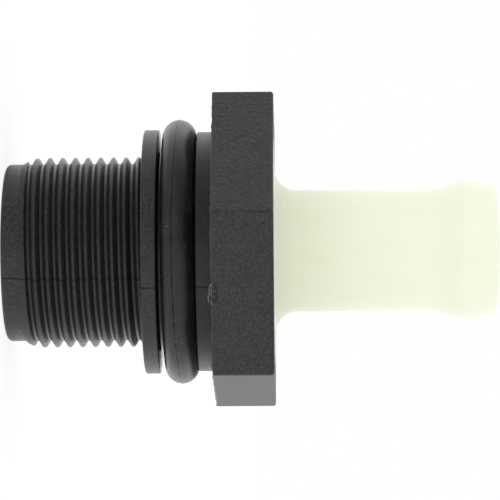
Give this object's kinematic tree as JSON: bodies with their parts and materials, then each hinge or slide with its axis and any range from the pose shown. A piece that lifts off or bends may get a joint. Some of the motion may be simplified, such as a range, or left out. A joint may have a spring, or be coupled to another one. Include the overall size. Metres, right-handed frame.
{
  "type": "screw-in check valve hose fitting",
  "caption": "Screw-in fitting with external thread, sealing ring, hexagon and hose barb; a spring-loaded poppet inside lets flow pass from the nose to the barb only.",
  "frame": {"origin": "centre of the nose's end face, the face that the part stands on", "axes": "+Z along the fitting's axis from the nose to the hose barb; +X square to one flat of the hexagon"},
  "size_m": [0.045, 0.0518, 0.0771],
  "materials": {
    "black_moulding": "fine moulded grain, satin",
    "seal_rubber": "smooth, slightly glossy",
    "natural_nylon": "smooth, milky, slightly translucent",
    "guide_moulding": "satin",
    "poppet_moulding": "satin",
    "spring_steel": "drawn wire and rolled strip"
  },
  "bodies": {
    "fitting": {"valve_body": "black_moulding", "gland_o_ring": "seal_rubber", "hose_barb": "natural_nylon", "stem_guide": "guide_moulding", "poppet_spring": "spring_steel"},
    "valve": {"poppet": "poppet_moulding", "poppet_seal": "seal_rubber", "stem_clip": "spring_steel"}
  },
  "joints": [
    {"name": "poppet_lift", "type": "slide", "parent": "fitting", "child": "valve", "axis": [0, 0, 1], "range_m": [0, 0.006], "stiffness_N_per_m": 259, "springref_m": -0.006, "deforming": ["poppet_spring"]}
  ]
}
